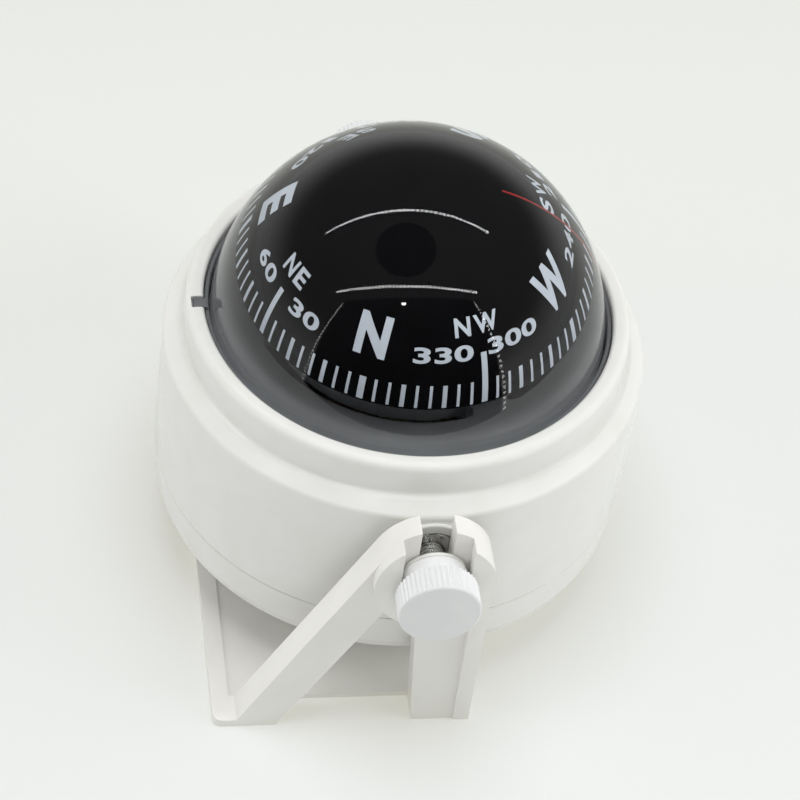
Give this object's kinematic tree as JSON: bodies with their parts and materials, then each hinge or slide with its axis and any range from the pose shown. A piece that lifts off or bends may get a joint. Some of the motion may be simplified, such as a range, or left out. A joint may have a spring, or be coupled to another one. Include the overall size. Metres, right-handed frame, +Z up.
{
  "type": "bracket-mounted dome compass",
  "caption": "Liquid-filled dome compass in a round white housing that tilts between the slotted arms of a deck bracket and is clamped by two knobs",
  "frame": {"origin": "underside of the bracket's base plate, straight below the middle of the tilt axis", "axes": "+Z up; the tilt axis runs along Y, with the near clamp knob at -Y; the red lubber line is at +X"},
  "size_m": [0.1112, 0.1498, 0.1119],
  "materials": {
    "white_plastic": "glossy UV-stable moulded plastic, faintly warm white",
    "grey_plastic": "satin mid-grey moulded plastic",
    "black_plastic": "satin black moulded plastic",
    "dial_black": "matt black with white printed marks",
    "clear_dome": "polished clear acrylic filled with clear damping liquid",
    "rubber": "matt black rubber",
    "steel": "stainless steel, turned",
    "brass": "turned brass",
    "magnet": "dark sintered magnet",
    "red_line": "red enamel on wire",
    "nylon": "white nylon, slightly translucent",
    "float_foam": "closed-cell float foam"
  },
  "bodies": {
    "bracket": {"bracket": "white_plastic"},
    "carriage": {"friction_washer_near": "nylon", "friction_washer_far": "nylon"},
    "housing": {"upper_housing": "white_plastic", "lower_housing": "white_plastic", "pivot_insert_near": "steel", "pivot_insert_far": "steel", "dome": "clear_dome", "dome_clamp_ring": "grey_plastic", "dome_gasket": "rubber", "gimbal_platform": "grey_plastic", "capsule_bowl": "black_plastic", "capsule_retainer": "black_plastic", "diaphragm": "rubber", "diaphragm_ring": "black_plastic", "fill_plug": "brass", "lubber_line": "red_line", "housing_screw_0": "steel", "housing_screw_1": "steel", "housing_screw_2": "steel", "housing_screw_3": "steel", "retainer_screw_0": "steel", "retainer_screw_1": "steel", "retainer_screw_2": "steel", "retainer_screw_3": "steel"},
    "near_thrust": {"thrust_washer_near": "nylon"},
    "near_knob": {"thumb_knob_near": "white_plastic", "knob_stud_near": "steel"},
    "far_thrust": {"thrust_washer_far": "nylon"},
    "far_knob": {"thumb_knob_far": "white_plastic", "knob_stud_far": "steel"},
    "fore_aft_spindle": {"compensator_fore_aft": "brass", "compensator_magnet_fore_aft": "magnet"},
    "athwart_spindle": {"compensator_athwart": "brass", "compensator_magnet_athwart": "magnet"},
    "gimbal": {"gimbal_ring": "brass", "ring_pin_a": "steel", "ring_pin_b": "steel"},
    "cradle": {"pivot_cradle": "brass", "cradle_pin_a": "steel", "cradle_pin_b": "steel", "counterweight": "brass", "pivot_post": "steel"},
    "card": {"compass_card": "dial_black", "card_float": "float_foam", "jewel_cup": "steel", "card_magnet_a": "magnet", "card_magnet_b": "magnet"}
  },
  "joints": [
    {"name": "lift_out", "type": "slide", "parent": "bracket", "child": "carriage", "axis": [0, 0, 1], "range_m": [0, 0.03]},
    {"name": "housing_tilt", "type": "hinge", "parent": "carriage", "child": "housing", "pos_m": [0, 0, 0.0507], "axis": [0, 1, 0], "range_deg": [-10, 14]},
    {"name": "near_knob_travel", "type": "slide", "parent": "housing", "child": "near_thrust", "axis": [0, -1, 0], "range_m": [0, 0.002]},
    {"name": "near_knob_turn", "type": "hinge", "parent": "near_thrust", "child": "near_knob", "pos_m": [0, -0.07485, 0.0507], "axis": [0, -1, 0], "range_deg": [0, 720]},
    {"name": "far_knob_travel", "type": "slide", "parent": "housing", "child": "far_thrust", "axis": [0, 1, 0], "range_m": [0, 0.002]},
    {"name": "far_knob_turn", "type": "hinge", "parent": "far_thrust", "child": "far_knob", "pos_m": [0, 0.07485, 0.0507], "axis": [0, 1, 0], "range_deg": [0, 720]},
    {"name": "fore_aft_turn", "type": "hinge", "parent": "housing", "child": "fore_aft_spindle", "pos_m": [0.022, 0, 0.0125], "axis": [0, 0, 1], "continuous": true},
    {"name": "athwart_turn", "type": "hinge", "parent": "housing", "child": "athwart_spindle", "pos_m": [0, 0.022, 0.0125], "axis": [0, 0, 1], "continuous": true},
    {"name": "gimbal_roll", "type": "hinge", "parent": "housing", "child": "gimbal", "pos_m": [0, 0, 0.06646], "axis": [1, 0, 0], "range_deg": [-8, 8]},
    {"name": "gimbal_pitch", "type": "hinge", "parent": "gimbal", "child": "cradle", "pos_m": [0, 0, 0.06646], "axis": [0, 1, 0], "range_deg": [-8, 8]},
    {"name": "card_spin", "type": "hinge", "parent": "cradle", "child": "card", "pos_m": [0, 0, 0.088], "axis": [0, 0, 1], "continuous": true}
  ],
  "couplings": [
    {"joint": "near_knob_travel", "follows": "near_knob_turn", "m_per_rad": 0.00015915},
    {"joint": "far_knob_travel", "follows": "far_knob_turn", "m_per_rad": 0.00015915}
  ]
}
